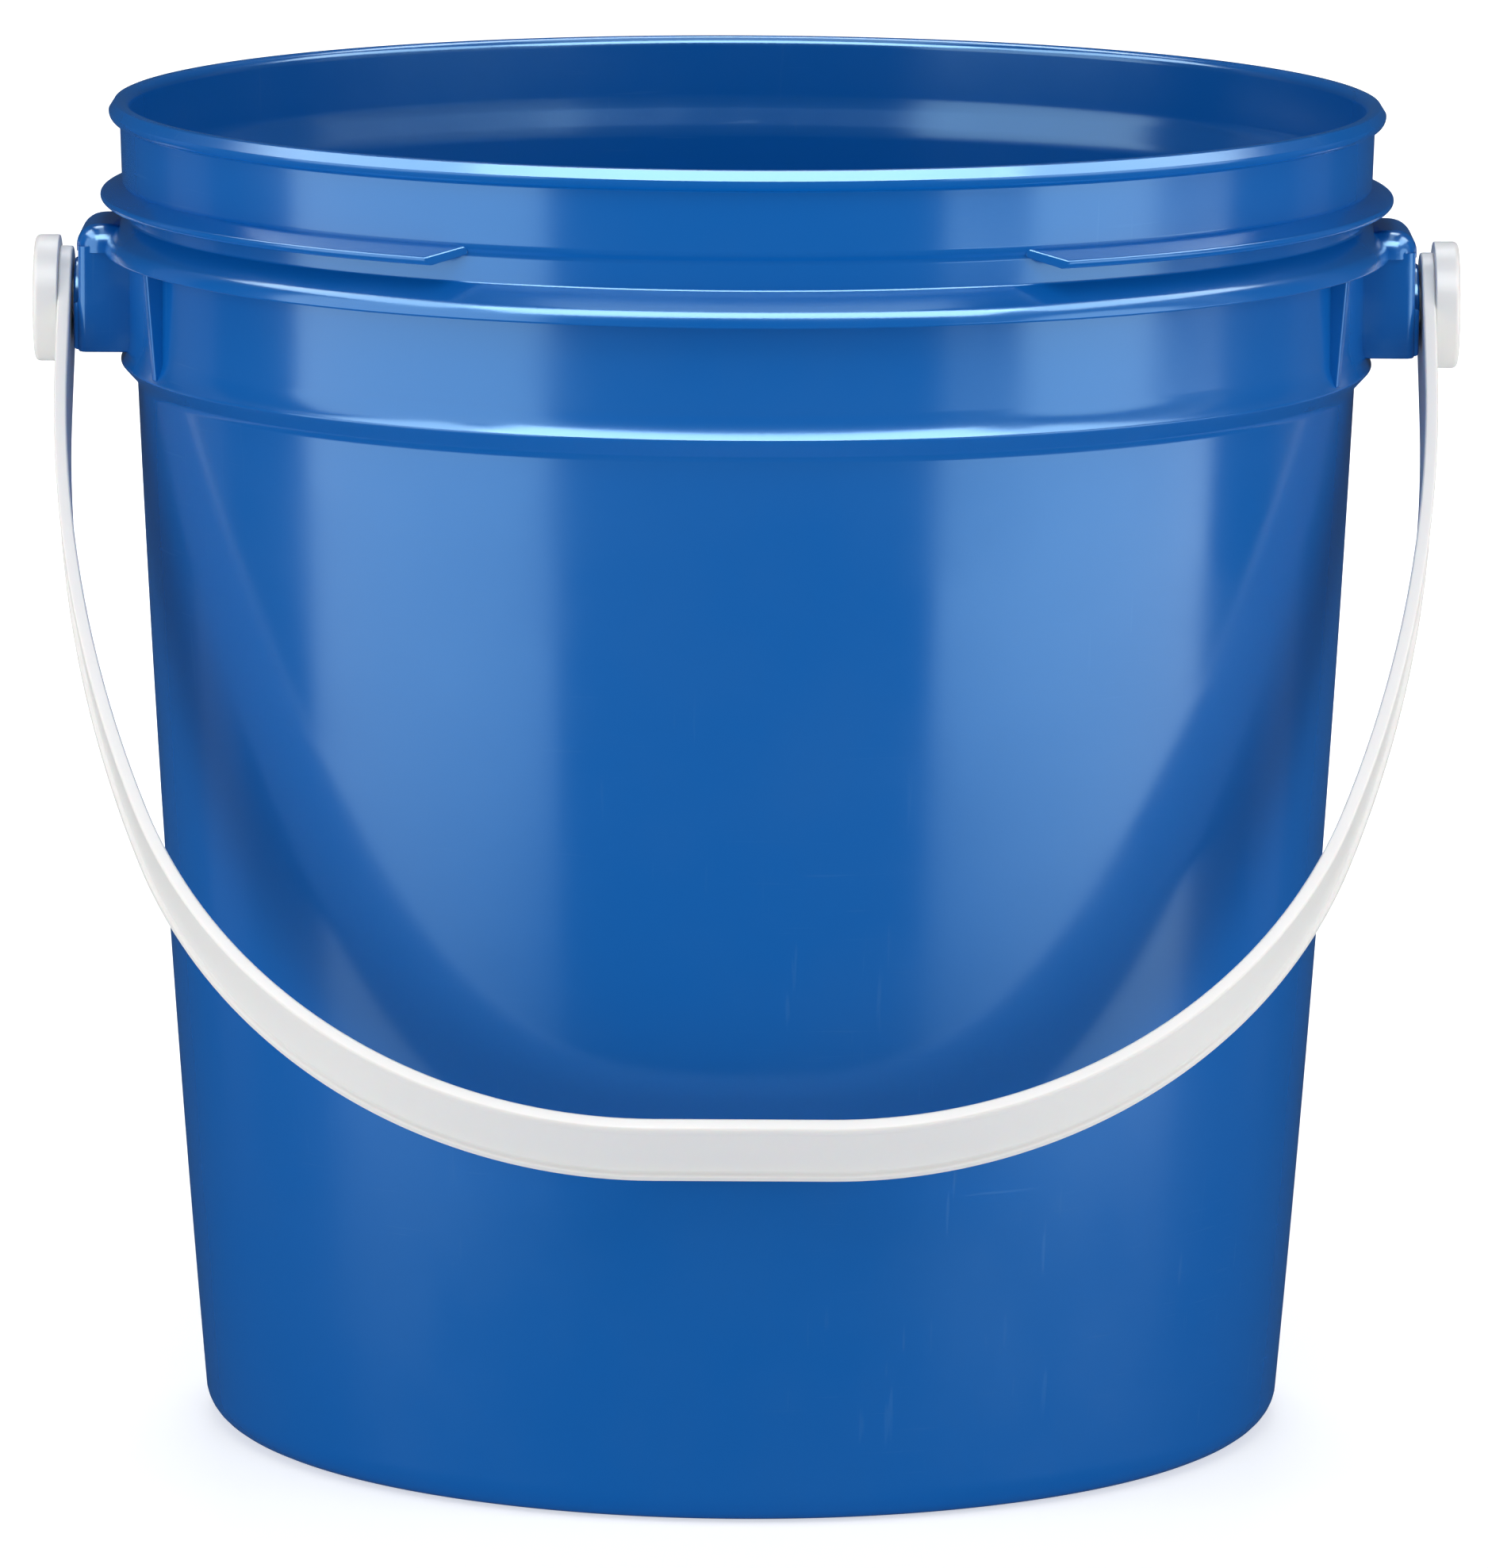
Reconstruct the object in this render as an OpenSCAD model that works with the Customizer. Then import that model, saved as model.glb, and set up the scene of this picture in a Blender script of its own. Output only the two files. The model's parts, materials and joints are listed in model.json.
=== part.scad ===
// Wash bucket: a tapered plastic pail with a swinging strap bail.
// Z is up, the pail's axis is the Z axis, the resting face is z = 0, and X runs through both pivots.
// At rest the bail hangs in front of the pail, on the -Y side.

/* [Pail body] */
// Height from the resting face to the top of the rim
pail_h = 204; // [196:1:216]
// Outer radius of the wall where it meets the base corner
base_r = 83.1; // [80:0.1:85]
// Outer radius of the wall just under the skirt
wall_top_r = 93.2; // [92:0.1:93.6]
// How far the wall swells out past a straight cone at mid height
wall_swell = 0.8; // [0.2:0.1:1.5]
// Wall thickness
wall_t = 1.9; // [1.6:0.1:2.2]
// Floor thickness
floor_t = 2.2; // [1.8:0.1:3]
// Radius of the outer corner between wall and base
base_corner_r = 5; // [4:0.5:7]
// Width of the flat foot ring that the pail stands on
foot_w = 6; // [4:0.5:10]
// Height of the hollow inside the foot ring
foot_h = 1.2; // [0.6:0.1:2]

/* [Rim and neck] */
// Outer radius of the rolled rim
rim_r = 97.5; // [97:0.1:98.2]
// Radius of the rim's round section
rim_bead_r = 1.6; // [1.2:0.1:1.8]
// Outer radius of the neck, between the rim and the lid lugs
neck_r = 95.8; // [95.5:0.1:96]
// Depth from the top of the rim to where the neck steps in
neck_depth = 12.5; // [12:0.1:13.5]

/* [Lid lugs] */
// Outer radius of the two interrupted lid lugs
lug_r = 98.8; // [98:0.1:99.2]
// Thickness of a lug
lug_t = 1.3; // [1:0.1:1.6]
// How far a lug slopes down from its root to its edge
lug_fall = 1.6; // [1:0.1:2]
// Half angle of the gap between the lugs, measured at their root
lug_gap_root = 25.9; // [20:0.1:30]
// Half angle of the same gap, measured at their edge
lug_gap_edge = 28.3; // [24:0.1:34]

/* [Skirt] */
// Outer radius of the flange
flange_r = 98.4; // [98:0.1:99]
// Thickness of the flange's edge
flange_t = 1.7; // [1.4:0.1:2.2]
// Depth from the top of the rim to the flange's upper edge
flange_depth = 21.2; // [20.6:0.1:22]
// Outer radius of the plain band under the flange
band_r = 94.6; // [94.2:0.1:95]
// Outer radius of the flared bead under the band
bead_r = 95.85; // [95.5:0.05:96.5]
// Depth from the top of the rim to where the bead starts to flare out of the band
bead_depth = 35.8; // [35.4:0.1:36.8]
// Height over which the bead flares out
bead_h = 4.0; // [3.4:0.1:4.4]

/* [Ears] */
// Distance from the pail's axis to the outer face of an ear
ear_x = 101.9; // [101.5:0.1:102.4]
// Width of an ear along Y
ear_w = 21; // [20:0.5:24]
// Depth from the top of the rim to the ear's lower edge
ear_depth = 38.2; // [38:0.1:39]
// Radius of the rounded outer top edge of an ear
ear_round_r = 4.2; // [3:0.1:5]
// Wall thickness of the hollow ear
ear_t = 1.8; // [1.6:0.1:2.2]
// Radius of the raised collar around the pivot bore
collar_r = 6.3; // [5.5:0.1:7]
// Height of the collar
collar_t = 0.9; // [0.6:0.1:1.2]
// Angle from the pivot axis to the rib on each side of an ear
rib_deg = 21.5; // [18:0.5:26]
// Thickness of a rib
rib_t = 1.6; // [1.2:0.1:2]

/* [Bail] */
// Depth from the top of the rim to the pivot axis
pivot_depth = 31.1; // [30.5:0.1:32]
// Width of the strap
strap_w = 16; // [14:0.5:18]
// Thickness of the strap over its raised rims
strap_t = 2.0; // [1.8:0.1:2.6]
// Depth of the channel between the raised rims
channel_d = 0.8; // [0.4:0.1:1]
// Width of each raised rim
strap_rim_w = 1.6; // [1.2:0.1:2.4]
// Straight length of a leg below the pivot
leg_l = 17; // [14:0.5:22]
// Radius of the long curve down each side
side_r = 218; // [200:2:240]
// Angle of that curve
side_deg = 21; // [18:0.5:22]
// Radius of the curve into the grip
corner_r = 82; // [78:1:86]
// Clearance between the strap and the pail, at the ears and where the bail rests
clearance = 0.3; // [0.3:0.05:0.6]

/* [Pivot buttons] */
// Radius of the round head outside the strap
button_r = 9.7; // [9:0.1:10.5]
// Thickness of the head
button_t = 3.8; // [3:0.1:5]
// Radius of the rounding around the head
button_round_r = 0.8; // [0.4:0.1:1.2]
// Radius of the stem
stem_r = 3; // [2.5:0.1:3.5]
// Radial running clearance of the stem in the pivot bore
stem_play = 0.05; // [0.01:0.01:0.1]
// How far the snap barb stands out past the stem
barb_h = 0.9; // [0.6:0.1:1.2]
// Length of the snap barb
barb_l = 2.6; // [2:0.1:3]
// Width of the slot that splits the snap end
slot_w = 1.2; // [0.8:0.1:1.6]

/* [Hidden] */
$fn = 180;
// Overlap where pieces of one moulding join, and overshoot of cuts
eps = 0.4;

// Heights of the pail's features
neck_z = pail_h - neck_depth;
flange_z = pail_h - flange_depth;
bead_z = pail_h - bead_depth;
ear_z = pail_h - ear_depth;
pivot_z = pail_h - pivot_depth;
rim_centre_z = pail_h - rim_bead_r;
rim_centre_r = rim_r - rim_bead_r;
// Height over which the neck steps in to the band's radius, below the lid lugs
neck_step = neck_r - band_r;
// How far the neck's wall leans out between its foot and the rim
neck_lean = 0.3;
// Inside, the same step starts this far above the neck's foot and runs over this height
inner_step_rise = 2;
inner_step_h = 4.6;
// Height of the shoulder that slopes in from the flange's edge to the band's radius
shoulder_rise = 3.4;
// The bead flares out along a circle that leaves the band upright
flare_out = bead_r - band_r;
flare_r = (bead_h * bead_h + flare_out * flare_out) / (2 * flare_out);
flare_deg = asin(bead_h / flare_r);
// The underside of the bead slopes back to the wall over this height
bead_under_h = 2.9;
bead_low_z = bead_z - bead_h;
wall_top_z = bead_low_z - bead_under_h;
// Thickness of the neck's wall
neck_t = 1.5;
// How deep a lug is rooted in the neck's wall, and the height of its upright edge
lug_root = 0.8;
lug_edge_h = 0.7;

// The wall swells along a circle through its two ends
wall_rise = wall_top_z - base_corner_r;
wall_swell_r = (wall_rise * wall_rise / 4 + wall_swell * wall_swell) / (2 * wall_swell);
wall_steps = 10;
function wall_r(z) = base_r + (wall_top_r - base_r) * (z - base_corner_r) / wall_rise
    + sqrt(wall_swell_r * wall_swell_r - pow(z - base_corner_r - wall_rise / 2, 2))
    - (wall_swell_r - wall_swell);

// Points along a round stretch of an outline, from angle a to angle b about a centre
arc_steps = 8;
function arc(cx, cy, r, a, b) =
    [for (i = [0 : arc_steps])
        let (turn = a + (b - a) * i / arc_steps) [cx + r * cos(turn), cy + r * sin(turn)]];
function wall_points(inset, z_low) =
    [for (i = [0 : wall_steps])
        let (z = z_low + (wall_top_z - z_low) * i / wall_steps) [wall_r(z) - inset, z]];

// The bail's centre line, seen square on, with the pivots on its X axis and the grip towards -Y
leg_x = ear_x + collar_t + clearance + strap_t / 2;
grip_half = leg_x - side_r * (1 - cos(side_deg)) - corner_r * cos(side_deg);
bail_reach = leg_l + side_r * sin(side_deg) + corner_r * (1 - sin(side_deg));

// Rest angle of the bail from hanging straight down
// The grip's inner rear edge is then one clearance off the wall
touch_reach = sqrt(pow(bail_reach - strap_t / 2, 2) + pow(strap_w / 2, 2));
touch_deg = atan((strap_w / 2) / (bail_reach - strap_t / 2));
wall_slope = (wall_top_r - base_r) / wall_rise;
wall_foot_r = base_r + wall_swell - wall_slope * base_corner_r;
rest_deg = touch_deg - atan(wall_slope)
    + asin((wall_foot_r + wall_slope * pivot_z + clearance)
           / (touch_reach * sqrt(1 + wall_slope * wall_slope)));

// Ears and ribs are rooted this deep in the band's wall
ear_root = 1.4;
ear_root_x = band_r - ear_root;
ear_inner_x = ear_x - ear_t;
// An ear stands this far above the flange
ear_rise = 2.5;
// Outer radius of a rib where the bead starts and at its top
rib_foot_r = bead_r + 0.4;
rib_top_r = flange_r - 1.2;
// A rib runs down over the flare and ends just above its edge, this far inside its radius
rib_end_z = bead_low_z + 0.4;
rib_end_in = 0.1;

bore_r = stem_r + stem_play;
head_x = leg_x + strap_t / 2;
// Length of a button's stem up to the snap barb, and up to its tip
stem_l = head_x - ear_inner_x + clearance;
tip_l = stem_l + barb_l;
// The tip is this much thinner than the stem, and the barb keeps its full width for this length
tip_taper = 0.5;
barb_catch = 0.4;
// The slot runs past the barb into the stem
slot_l = barb_l + 1.5;
// Length of solid strap from the pivot to where the channel starts
eye_l = strap_w / 2 + 1.5;

// The section of the pail's wall, floor and rim, turned about Z
module pail_section() {
    inner_corner_r = base_corner_r - wall_t;
    inner_floor_z = foot_h + floor_t;
    inner_step_z = neck_z + inner_step_rise;
    union() {
        polygon(concat(
            [[0, foot_h], [base_r - base_corner_r - foot_w, foot_h], [base_r - base_corner_r - foot_w, 0]],
            arc(base_r - base_corner_r, base_corner_r, base_corner_r, -90, 0),
            [for (p = wall_points(0, base_corner_r)) if (p[1] > base_corner_r) p],
            arc(band_r + flare_r, bead_z, flare_r, 180 + flare_deg, 180),
            [[band_r, flange_z - flange_t], [flange_r, flange_z - flange_t],
             [flange_r, flange_z], [band_r, flange_z + shoulder_rise],
             [band_r, neck_z - neck_step], [neck_r - neck_lean, neck_z], [neck_r, rim_centre_z],
             [neck_r - neck_t, rim_centre_z], [neck_r - neck_t - neck_lean, inner_step_z],
             [band_r - wall_t, inner_step_z - inner_step_h], [band_r - wall_t, bead_z],
             [wall_top_r - wall_t, wall_top_z]],
            [for (i = [wall_steps - 1 : -1 : 1]) wall_points(wall_t, inner_floor_z + inner_corner_r)[i]],
            arc(wall_r(inner_floor_z + inner_corner_r) - wall_t - inner_corner_r,
                inner_floor_z + inner_corner_r, inner_corner_r, 0, -90),
            [[0, inner_floor_z]]));
        translate([rim_centre_r, rim_centre_z])
            circle(rim_bead_r);
    }
}

// Two lid lugs: one sloping ring, interrupted at the front and at the rear
module lid_lugs() {
    root_r = neck_r - lug_root;
    edge_z = neck_z - lug_fall;
    difference() {
        rotate_extrude()
            polygon([[root_r, neck_z], [lug_r, edge_z], [lug_r, edge_z - lug_edge_h],
                     [lug_r - lug_edge_h, edge_z - lug_t], [root_r, neck_z - lug_t]]);
        for (turn = [0, 180])
            rotate([0, 0, turn])
                translate([0, 0, edge_z - lug_t - eps])
                    linear_extrude(lug_fall + lug_t + 2 * eps)
                        lug_gap();
    }
}

// Plan of the gap between the lugs, whose sides slant outwards
module lug_gap() {
    root = neck_r * [sin(lug_gap_root), -cos(lug_gap_root)];
    edge = lug_r * [sin(lug_gap_edge), -cos(lug_gap_edge)];
    inner = root - (edge - root) / 2;
    outer = edge + (edge - root);
    polygon([[-inner[0], inner[1]], [-outer[0], outer[1]], outer, inner]);
}

// One hollow ear on the +X side, open below, with a rounded top and the pivot collar
module ear() {
    difference() {
        union() {
            difference() {
                translate([0, ear_w / 2, 0])
                    rotate([90, 0, 0])
                        linear_extrude(ear_w)
                            ear_section();
                translate([ear_root_x - eps, ear_t - ear_w / 2, ear_z - eps])
                    cube([ear_inner_x - ear_root_x + eps, ear_w - 2 * ear_t,
                          flange_z - flange_t - ear_z + eps]);
            }
            translate([ear_inner_x, 0, pivot_z])
                rotate([0, 90, 0])
                    cylinder(h = ear_t + collar_t, r = collar_r);
        }
        translate([ear_inner_x - eps, 0, pivot_z])
            rotate([0, 90, 0])
                cylinder(h = ear_t + collar_t + 2 * eps, r = bore_r);
    }
}

// Side outline of an ear in X and Z
module ear_section() {
    top_z = flange_z + ear_rise;
    union() {
        translate([ear_root_x, ear_z])
            square([ear_x - ear_root_x, top_z - ear_round_r - ear_z]);
        translate([ear_root_x, ear_z])
            square([ear_x - ear_round_r - ear_root_x, top_z - ear_z]);
        translate([ear_x - ear_round_r, top_z - ear_round_r])
            circle(ear_round_r);
    }
}

// One upright rib between the flange and the bead, beside an ear
module ear_rib() {
    translate([0, rib_t / 2, 0])
        rotate([90, 0, 0])
            linear_extrude(rib_t)
                polygon([[ear_root_x, rib_end_z], [bead_r - rib_end_in, rib_end_z],
                         [rib_foot_r, bead_z], [rib_top_r, flange_z - flange_t / 2],
                         [ear_root_x, flange_z - flange_t / 2]]);
}

module pail() {
    color([0.02, 0.27, 0.62])
        union() {
            rotate_extrude()
                pail_section();
            lid_lugs();
            for (side = [0, 1])
                mirror([side, 0, 0]) {
                    ear();
                    for (turn = [-rib_deg, rib_deg])
                        rotate([0, 0, turn])
                            ear_rib();
                }
        }
}

// Section of the strap: X across its thickness with the channel on the outer side, Y across its width
module strap_section() {
    difference() {
        square([strap_t, strap_w], center = true);
        translate([strap_t / 2 - channel_d, strap_rim_w - strap_w / 2])
            square([channel_d + eps, strap_w - 2 * strap_rim_w]);
    }
}

// Half of the bail on the +X side, flat in the XY plane, from the pivot round to the middle of the grip
module bail_half() {
    side_end_x = leg_x - side_r * (1 - cos(side_deg));
    side_end_y = -leg_l - side_r * sin(side_deg);
    // Round end of the strap, flat on both sides around the eye
    translate([leg_x - strap_t / 2, 0, 0])
        rotate([0, 90, 0])
            cylinder(h = strap_t, d = strap_w);
    translate([leg_x - strap_t / 2, -eye_l, -strap_w / 2])
        cube([strap_t, eye_l, strap_w]);
    // Straight leg
    translate([leg_x, -leg_l, 0])
        rotate([-90, 0, 0])
            linear_extrude(leg_l - eye_l)
                strap_section();
    // Long curve down the side, turned about a centre on the inner side
    translate([leg_x - side_r, -leg_l, 0])
        rotate_extrude(angle = -side_deg, $fn = 720)
            translate([side_r, 0])
                strap_section();
    // Curve into the grip
    translate([side_end_x - corner_r * cos(side_deg), side_end_y + corner_r * sin(side_deg), 0])
        rotate([0, 0, -90])
            rotate_extrude(angle = 90 - side_deg, $fn = 360)
                translate([corner_r, 0])
                    strap_section();
    // Straight half of the grip
    translate([0, -bail_reach, 0])
        rotate([90, 0, 90])
            linear_extrude(grip_half)
                rotate([0, 0, 180])
                    strap_section();
}

// Places a piece of the flat bail at the rest angle on the pivot axis
module at_rest() {
    translate([0, 0, pivot_z])
        rotate([90 - rest_deg, 0, 0])
            children();
}

module bail_strap() {
    color([0.93, 0.93, 0.92])
        at_rest()
            difference() {
                union() {
                    bail_half();
                    mirror([1, 0, 0])
                        bail_half();
                }
                for (side = [-1, 1])
                    translate([side * leg_x, 0, 0])
                        rotate([0, 90, 0])
                            cylinder(h = 2 * strap_t, r = stem_r, center = true);
            }
}

// A snap-in pivot button on the +X side: head, stem and split barb on one axis
module pivot_button() {
    barb_r = stem_r + barb_h;
    difference() {
        translate([head_x, 0, 0])
            rotate([0, 90, 0])
                rotate_extrude()
                    polygon(concat(
                        [[0, -tip_l], [stem_r - tip_taper, -tip_l], [barb_r, -stem_l - barb_catch],
                         [barb_r, -stem_l], [stem_r, -stem_l], [stem_r, 0], [button_r, 0]],
                        arc(button_r - button_round_r, button_t - button_round_r, button_round_r, 0, 90),
                        [[0, button_t]]));
        translate([head_x - tip_l - eps, -slot_w / 2, -barb_r - eps])
            cube([slot_l + eps, slot_w, 2 * (barb_r + eps)]);
    }
}

module pivot_button_left() {
    color([0.93, 0.93, 0.92])
        at_rest()
            mirror([1, 0, 0])
                pivot_button();
}

module pivot_button_right() {
    color([0.93, 0.93, 0.92])
        at_rest()
            pivot_button();
}

pail();
bail_strap();
pivot_button_left();
pivot_button_right();
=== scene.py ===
# %% [markdown]
# # A wash bucket
# The bucket is four mouldings: a blue pail, a white strap that is its bail, and two white buttons that snap
# the strap to the pail's ears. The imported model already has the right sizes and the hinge. This script loads
# it as a fixed frame and builds the finished look of each moulding around it.

# %% Load the frame
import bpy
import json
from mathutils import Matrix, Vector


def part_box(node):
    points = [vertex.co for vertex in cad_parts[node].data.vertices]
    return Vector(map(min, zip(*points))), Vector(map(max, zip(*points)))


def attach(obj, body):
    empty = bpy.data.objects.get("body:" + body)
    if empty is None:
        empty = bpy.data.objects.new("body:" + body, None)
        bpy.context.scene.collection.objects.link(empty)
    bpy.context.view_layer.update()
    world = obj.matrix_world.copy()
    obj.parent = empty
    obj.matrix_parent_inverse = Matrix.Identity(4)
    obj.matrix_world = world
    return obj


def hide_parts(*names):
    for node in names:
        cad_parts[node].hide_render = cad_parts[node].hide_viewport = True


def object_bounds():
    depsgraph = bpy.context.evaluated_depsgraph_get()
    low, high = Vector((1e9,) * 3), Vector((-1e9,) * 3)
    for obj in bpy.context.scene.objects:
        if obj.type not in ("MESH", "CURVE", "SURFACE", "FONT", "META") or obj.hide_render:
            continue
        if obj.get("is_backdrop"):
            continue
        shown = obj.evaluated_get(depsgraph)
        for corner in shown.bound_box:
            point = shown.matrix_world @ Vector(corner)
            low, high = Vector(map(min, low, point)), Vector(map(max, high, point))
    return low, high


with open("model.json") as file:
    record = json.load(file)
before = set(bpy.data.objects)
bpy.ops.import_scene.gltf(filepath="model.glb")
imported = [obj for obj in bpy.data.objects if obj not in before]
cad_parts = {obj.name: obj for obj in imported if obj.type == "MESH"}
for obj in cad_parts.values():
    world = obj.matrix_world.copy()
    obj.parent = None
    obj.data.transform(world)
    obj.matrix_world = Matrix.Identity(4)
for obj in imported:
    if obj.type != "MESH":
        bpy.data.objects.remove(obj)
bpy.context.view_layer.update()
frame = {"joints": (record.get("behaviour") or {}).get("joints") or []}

# %% [markdown]
# ## Measures that come from the frame
# A piece goes where the frame says. The pail's top, the hinge's height and the outer faces of strap and
# buttons are read from it. Everything else on the bucket is given in millimetres where it is first needed.

# %% Read the main measures
import json
from math import acos, atan2, cos, degrees, hypot, pi, radians, sin

import bmesh
import bpy
from mathutils import Vector

mm = 0.001
rim_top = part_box("pail")[1].z / mm
pivot_z = frame["joints"][0]["pos_m"][2] / mm
strap_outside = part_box("bail_strap")[1].x / mm
head_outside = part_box("pivot_button_right")[1].x / mm
print(f"rim {rim_top:.1f}, hinge {pivot_z:.1f} mm high")
print(f"strap out to {strap_outside:.1f}, buttons out to {head_outside:.1f} mm")

# %% [markdown]
# ## The camera comes first
# A long lens from about nine rim widths away keeps the pail's sides nearly parallel, and the camera looks
# down by nine and a half degrees, so that the mouth is a thin ellipse. The order ZYX makes the last angle a
# roll about the camera's own line of sight. It is a third of a degree, as few cameras stand quite level.

# %% Place the camera
camera_distance = 1.754
camera_height = 0.392
camera_tilt = 9.52
camera_roll = 0.30

bpy.ops.object.camera_add(location=(0, -camera_distance, camera_height))
camera = bpy.context.object
camera.rotation_mode = "ZYX"
camera.rotation_euler = (radians(90 - camera_tilt), 0, radians(camera_roll))
camera.data.lens = 264.6
camera.data.sensor_width = 36
camera.data.clip_start = 0.05
bpy.context.scene.camera = camera
print("camera at", tuple(round(x, 3) for x in camera.location))

# %% [markdown]
# ## Five helpers for working as by hand
# An operator acts on whatever is selected, and loading the frame leaves its nodes selected. So each step
# first makes one piece the only selected one, and then picks faces or edges by where they are.

# %% Select, edit and pick
near = 0.05  # a face or edge this close to a plane, in mm, lies on it


def work_on(piece):
    """Leave edit mode and make this piece the only selected one."""
    if bpy.context.object and bpy.context.object.mode != "OBJECT":
        bpy.ops.object.mode_set(mode="OBJECT")
    bpy.ops.object.select_all(action="DESELECT")
    piece.select_set(True)
    bpy.context.view_layer.objects.active = piece


def start(piece, name):
    """Name a new primitive, put its place into its mesh and open it for editing."""
    piece.name = name
    work_on(piece)
    bpy.ops.object.transform_apply(location=True, rotation=True, scale=True)
    bpy.ops.object.mode_set(mode="EDIT")
    return piece


def pick(piece, kind, test):
    """In edit mode, select only the corners, edges or faces whose place in mm and direction pass the test."""
    bpy.ops.mesh.select_mode(type=kind)
    bpy.ops.mesh.select_all(action="DESELECT")
    mesh = bmesh.from_edit_mesh(piece.data)
    for part in {"VERT": mesh.verts, "EDGE": mesh.edges, "FACE": mesh.faces}[kind]:
        if kind == "VERT":
            place, way = part.co, part.normal
        elif kind == "EDGE":
            first, second = part.verts[0].co, part.verts[1].co
            place, way = (first + second) / 2, second - first
        else:
            place, way = part.calc_center_median(), part.normal
        if test(place / mm, way.normalized()):
            part.select_set(True)
    mesh.select_flush_mode()
    bmesh.update_edit_mesh(piece.data)


def extrude(x=0, y=0, z=0):
    """Extrude what is selected by a step in mm."""
    bpy.ops.mesh.extrude_region_move(TRANSFORM_OT_translate={"value": (x * mm, y * mm, z * mm)})


def finish_mesh(piece, smooth_below=32):
    """Merge doubles, turn the faces outwards, shade smooth up to an angle and say what was made."""
    work_on(piece)
    bpy.ops.object.mode_set(mode="EDIT")
    bpy.ops.mesh.select_all(action="SELECT")
    bpy.ops.mesh.remove_doubles(threshold=0.004 * mm)
    bpy.ops.mesh.normals_make_consistent(inside=False)
    bpy.ops.object.mode_set(mode="OBJECT")
    bpy.ops.object.shade_smooth_by_angle(angle=radians(smooth_below))
    size = piece.dimensions / mm
    print(f"{piece.name}: {len(piece.data.polygons)} faces, {size.x:.1f} x {size.y:.1f} x {size.z:.1f} mm")


print("helpers: work_on, start, pick, extrude and finish_mesh")

# %% [markdown]
# ## The pail: one outline, turned
# A moulded pail is round, so its wall, floor, rim and skirt are one outline turned about the upright axis. It
# could be built from a cylinder by many insets and scalings, but an outline holds every thickness in one
# place and is easy to check against a drawing. It is drawn as a hand would draw it: one point, extruded from
# corner to corner. Each corner has a radius, a height and a softness in millimetres, and round stretches come
# from a small arc function.

# %% Measure the wall
wall_bottom, wall_top = 5, 161.3
base_radius, wall_top_radius = 83.1, 93.2
wall_swell = 0.8
wall_thickness = 1.9
wall_parts = 24


def wall_radius(z):
    """Outside radius of the wall: a straight taper that swells slightly half way up."""
    rise = (z - wall_bottom) / (wall_top - wall_bottom)
    return base_radius + (wall_top_radius - base_radius) * rise + 4 * wall_swell * rise * (1 - rise)


wall_steps = [wall_bottom + (wall_top - wall_bottom) * i / wall_parts for i in range(1, wall_parts)]
print(f"half way up, the wall's radius is {wall_radius(wall_steps[wall_parts // 2 - 1]):.1f} mm")

# %% [markdown]
# The outline starts at the middle of the underside, with the mark that the mould's gate leaves, a raised ring
# and the foot that the pail stands on. It climbs the wall to the skirt: a flared bead, the plain band, and
# the flange that carries the ears. Above come the neck and the rolled rim, and then the inside, down to the
# middle of the floor.

# %% Draw the pail's outline
floor_top = 3.4
floor_round = 3.1
floor_corner_radius = 78.2
foot_inner, foot_outer = 72.1, 78.1
recess = 1.2
band_radius = 94.6
flare_foot_radius = 95.85
flare_low, flare_high = 164.2, 168.2
flare_radius, flare_turn = 7.03, 34.7
flange_radius = 98.4
flange_low, flange_shoulder, flange_high = 181.1, 182.8, 186.2
rim_radius, rim_roll = 95.9, 1.6
rim_middle = rim_top - rim_roll


def arc(centre, radius, start_deg, end_deg, steps):
    """Corners along a round stretch of the outline, with no softness of their own."""
    turns = [radians(start_deg + (end_deg - start_deg) * i / steps) for i in range(steps + 1)]
    return [(centre[0] + radius * cos(t), centre[1] + radius * sin(t), 0) for t in turns]


gate = [(0, 0.5, 0), (2.6, 0.5, 0.3), (3.1, recess, 0.3)]
ring = [(35.4, recess, 0), (36, recess + 0.3, 0.2), (37, recess + 0.3, 0.2), (37.6, recess, 0)]
foot = [(foot_inner - 0.6, recess, 0.3), (foot_inner, 0, 0.4)]
outer_corner = arc((foot_outer, wall_bottom), wall_bottom, -90, 0, 9)
outer_wall = [(wall_radius(z), z, 0) for z in wall_steps]
flare = arc((band_radius + flare_radius, flare_high), flare_radius, 180 + flare_turn, 180, 8)
bead = [(wall_top_radius, wall_top, 0.7), (flare_foot_radius, flare_low, 0.3)] + flare[1:]
flange_under = [(band_radius, flange_low, 0.4), (flange_radius, flange_low, 0.3)]
flange_over = [(flange_radius, flange_shoulder, 1.3), (band_radius, flange_high, 0.25)]
neck = [(band_radius, 190.3, 0.5), (95.5, 191.5, 0.6), (95.8, 200.8, 0.25)]
rim_under = arc((rim_radius, rim_middle), rim_roll, -76, 2, 8)
rim_over = arc((rim_radius, rim_middle), rim_roll, 62, 180, 12)
inner_neck = [(94.0, 193.5, 1.2), (92.7, 188.9, 1.2), (92.7, flare_high, 1.0), (91.3, wall_top, 1.0)]
inner_wall = [(wall_radius(z) - wall_thickness, z, 0) for z in reversed(wall_steps)]
inner_corner = arc((floor_corner_radius, floor_top + floor_round), floor_round, 0, -90, 7)
underside = gate + ring + foot
outside = outer_corner + outer_wall + bead + flange_under + flange_over + neck + rim_under + rim_over
inside = inner_neck + inner_wall + inner_corner + [(0, floor_top, 0)]
pail_outline = underside + outside + inside
print(len(pail_outline), "corners in the pail's outline")

# %% [markdown]
# The first point is a plane merged into its middle. Each further corner is one extrusion. Soft corners are
# then bevelled by their own softness, which is what the radius of a mould's edge does to the plastic.

# %% Turn the outline into the pail
same_point = 0.002  # corners this close, in mm, are one corner


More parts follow.
